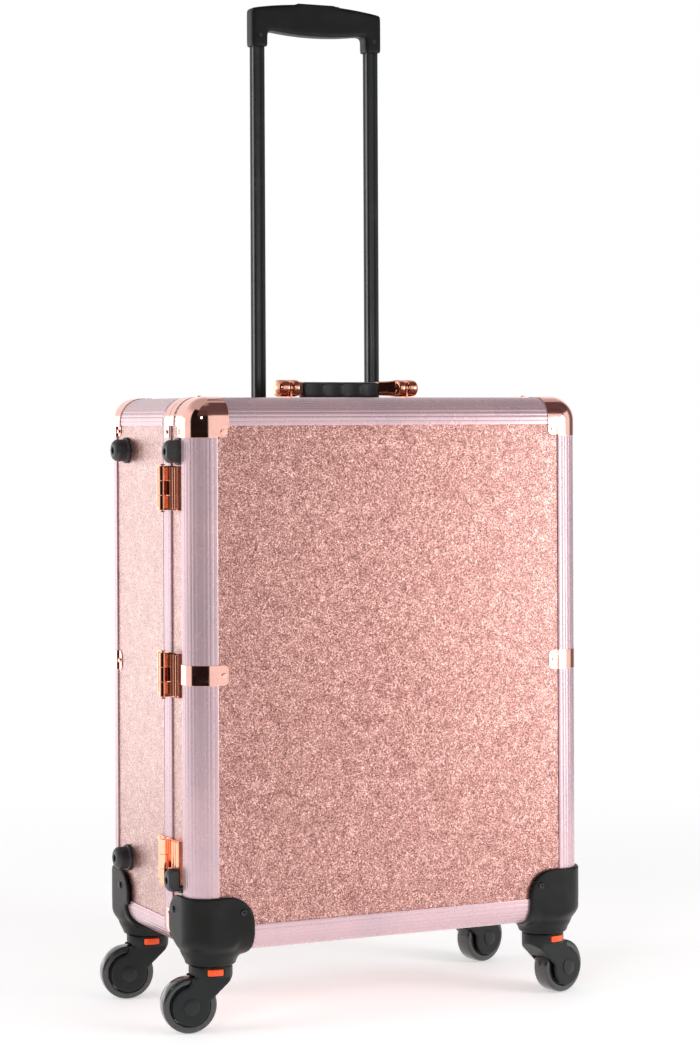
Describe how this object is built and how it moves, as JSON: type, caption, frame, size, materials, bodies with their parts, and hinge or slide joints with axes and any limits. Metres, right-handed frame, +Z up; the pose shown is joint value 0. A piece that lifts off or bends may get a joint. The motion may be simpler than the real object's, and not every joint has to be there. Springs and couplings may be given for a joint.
{
  "type": "rolling makeup case",
  "caption": "Tall hard case on swivelling casters, with a full-height hinged lid, rounded metal frame, capped corners, telescoping trolley handle and folding carry handle.",
  "frame": {"origin": "on the floor under the middle of the whole part", "axes": "+X across the width towards the latch side, +Y towards the back where the trolley handle is, +Z up"},
  "size_m": [0.48, 0.2512, 1.0548],
  "materials": {
    "crinkle_panel": "metallic rose film with a fine crinkle",
    "anodised_frame": "satin anodised with fine lengthwise flutes",
    "rose_chrome": "polished rose-gold plating",
    "copper_chrome": "polished copper plating",
    "lining_cloth": "woven lining",
    "bumper_rubber": "satin rubber",
    "black_moulding": "fine moulded texture",
    "black_soft_touch": "soft touch",
    "black_tube": "satin black coating",
    "plated_steel": "zinc plated",
    "dark_screw": "blackened screw heads",
    "orange_button": "moulded colour",
    "hub_plastic": "satin moulding",
    "wheel_tread": "smooth glossy tread"
  },
  "bodies": {
    "case": {"back_panel": "crinkle_panel", "side_panels": "crinkle_panel", "top_panel": "crinkle_panel", "bottom_panel": "crinkle_panel", "frame_bars": "anodised_frame", "seam_frame": "anodised_frame", "case_edge_caps": "rose_chrome", "case_rivets": "rose_chrome", "case_lining": "lining_cloth", "hinge_case_leaves": "copper_chrome", "case_bumpers": "bumper_rubber", "rear_corner_feet": "black_moulding", "rear_foot_screws": "dark_screw", "trolley_outer_tubes": "plated_steel", "trolley_brackets": "plated_steel", "trolley_collars": "black_moulding", "carry_bases": "copper_chrome", "latch_bases": "copper_chrome", "pivot_pins": "copper_chrome"},
    "lid": {"lid_front_panel": "crinkle_panel", "lid_wall_panels": "crinkle_panel", "lid_frame_bars": "anodised_frame", "lid_seam_frame": "anodised_frame", "lid_edge_caps": "rose_chrome", "lid_rivets": "rose_chrome", "lid_lining": "lining_cloth", "hinge_lid_leaves": "copper_chrome", "lid_bumpers": "bumper_rubber", "front_corner_feet": "black_moulding", "front_foot_screws": "dark_screw", "latch_keepers": "copper_chrome"},
    "trolley": {"trolley_inner_tubes": "black_tube", "trolley_plugs": "black_moulding", "grip_front_shell": "black_moulding", "grip_back_shell": "black_moulding", "grip_screws": "dark_screw"},
    "trolley_release": {"trolley_button": "black_soft_touch", "release_bar": "plated_steel"},
    "carry_handle": {"carry_arms": "copper_chrome", "carry_grip": "black_soft_touch"},
    "upper_latch": {"upper_latch_lever": "copper_chrome"},
    "lower_latch": {"lower_latch_lever": "copper_chrome"},
    "front_left_fork_body": {"front_left_fork": "black_moulding"},
    "front_left_release_body": {"front_left_release": "orange_button"},
    "front_left_wheel_body": {"front_left_hub": "hub_plastic", "front_left_tyre": "wheel_tread"},
    "front_right_fork_body": {"front_right_fork": "black_moulding"},
    "front_right_release_body": {"front_right_release": "orange_button"},
    "front_right_wheel_body": {"front_right_hub": "hub_plastic", "front_right_tyre": "wheel_tread"},
    "rear_left_fork_body": {"rear_left_fork": "black_moulding"},
    "rear_left_release_body": {"rear_left_release": "orange_button"},
    "rear_left_wheel_body": {"rear_left_hub": "hub_plastic", "rear_left_tyre": "wheel_tread"},
    "rear_right_fork_body": {"rear_right_fork": "black_moulding"},
    "rear_right_release_body": {"rear_right_release": "orange_button"},
    "rear_right_wheel_body": {"rear_right_hub": "hub_plastic", "rear_right_tyre": "wheel_tread"}
  },
  "joints": [
    {"name": "lid_swing", "type": "hinge", "parent": "case", "child": "lid", "pos_m": [-0.22766, -0.062, 0.354], "axis": [0, 0, -1], "range_deg": [0, 110]},
    {"name": "upper_latch_swing", "type": "hinge", "parent": "case", "child": "upper_latch", "pos_m": [0.22484, -0.028, 0.54], "axis": [0, 0, 1], "range_deg": [0, 110]},
    {"name": "lower_latch_swing", "type": "hinge", "parent": "case", "child": "lower_latch", "pos_m": [0.22484, -0.028, 0.168], "axis": [0, 0, 1], "range_deg": [0, 110]},
    {"name": "trolley_slide", "type": "slide", "parent": "case", "child": "trolley", "axis": [0, 0, 1], "range_m": [-0.37, 0]},
    {"name": "trolley_button_press", "type": "slide", "parent": "trolley", "child": "trolley_release", "axis": [0, 0, -1], "range_m": [0, 0.004], "stiffness_N_per_m": 600, "springref_m": -0.004},
    {"name": "carry_handle_lift", "type": "hinge", "parent": "case", "child": "carry_handle", "pos_m": [0.00034, -0.011, 0.6405], "axis": [1, 0, 0], "range_deg": [0, 90]},
    {"name": "front_left_swivel", "type": "hinge", "parent": "lid", "child": "front_left_fork_body", "pos_m": [-0.18866, -0.088, 0.062], "axis": [0, 0, 1], "continuous": true},
    {"name": "front_left_roll", "type": "hinge", "parent": "front_left_fork_body", "child": "front_left_wheel_body", "pos_m": [-0.21144, -0.0848, 0.028], "axis": [-0.1392, -0.9903, 0], "continuous": true},
    {"name": "front_left_release_press", "type": "slide", "parent": "front_left_fork_body", "child": "front_left_release_body", "axis": [0.1392, 0.9903, 0], "range_m": [0, 0.0025], "stiffness_N_per_m": 400, "springref_m": -0.002},
    {"name": "front_right_swivel", "type": "hinge", "parent": "lid", "child": "front_right_fork_body", "pos_m": [0.18934, -0.088, 0.062], "axis": [0, 0, 1], "continuous": true},
    {"name": "front_right_roll", "type": "hinge", "parent": "front_right_fork_body", "child": "front_right_wheel_body", "pos_m": [0.21133, -0.08128, 0.028], "axis": [-0.2924, 0.9563, 0], "continuous": true},
    {"name": "front_right_release_press", "type": "slide", "parent": "front_right_fork_body", "child": "front_right_release_body", "axis": [-0.2924, 0.9563, 0], "range_m": [0, 0.0025], "stiffness_N_per_m": 400, "springref_m": -0.002},
    {"name": "rear_left_swivel", "type": "hinge", "parent": "case", "child": "rear_left_fork_body", "pos_m": [-0.18866, 0.088, 0.062], "axis": [0, 0, 1], "continuous": true},
    {"name": "rear_left_roll", "type": "hinge", "parent": "rear_left_fork_body", "child": "rear_left_wheel_body", "pos_m": [-0.21144, 0.0912, 0.028], "axis": [-0.1392, -0.9903, 0], "continuous": true},
    {"name": "rear_left_release_press", "type": "slide", "parent": "rear_left_fork_body", "child": "rear_left_release_body", "axis": [0.1392, 0.9903, 0], "range_m": [0, 0.0025], "stiffness_N_per_m": 400, "springref_m": -0.002},
    {"name": "rear_right_swivel", "type": "hinge", "parent": "case", "child": "rear_right_fork_body", "pos_m": [0.18934, 0.088, 0.062], "axis": [0, 0, 1], "continuous": true},
    {"name": "rear_right_roll", "type": "hinge", "parent": "rear_right_fork_body", "child": "rear_right_wheel_body", "pos_m": [0.21133, 0.09473, 0.028], "axis": [-0.2924, 0.9563, 0], "continuous": true},
    {"name": "rear_right_release_press", "type": "slide", "parent": "rear_right_fork_body", "child": "rear_right_release_body", "axis": [-0.2924, 0.9563, 0], "range_m": [0, 0.0025], "stiffness_N_per_m": 400, "springref_m": -0.002}
  ]
}
